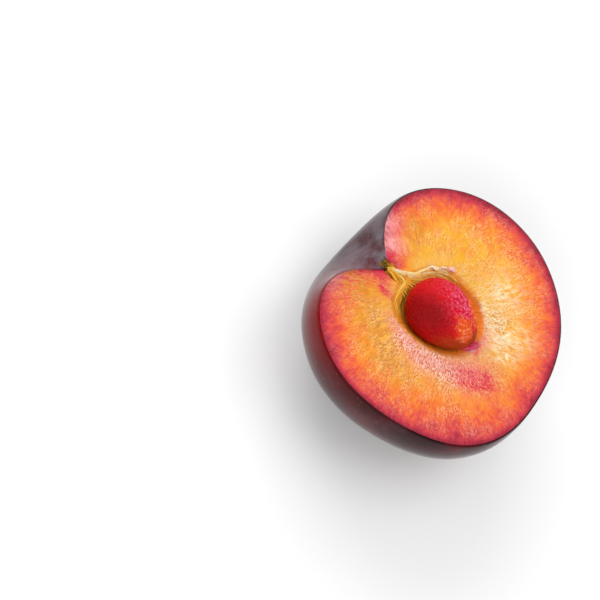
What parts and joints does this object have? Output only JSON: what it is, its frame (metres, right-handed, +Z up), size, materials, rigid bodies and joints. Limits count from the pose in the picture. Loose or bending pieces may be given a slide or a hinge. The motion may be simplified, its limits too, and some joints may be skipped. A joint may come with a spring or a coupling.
{
  "type": "plum half",
  "caption": "Half of a ripe dark plum, cut lengthways through the stalk dimple, lying on its round skin with the cut face up and the stone in its hollow.",
  "frame": {"origin": "on the surface that the half lies on, under the middle of its bounding box", "axes": "+Z up and square to the cut face, +X from the stalk dimple to the blossom end, -Y the side nearest the viewer, +Y across the fruit, its longest way"},
  "size_m": [0.0574, 0.0622, 0.0376],
  "materials": {
    "fruit": "gloss",
    "stone": "satin"
  },
  "bodies": {
    "root": {"fruit_half": "fruit", "stone": "stone"}
  },
  "joints": []
}
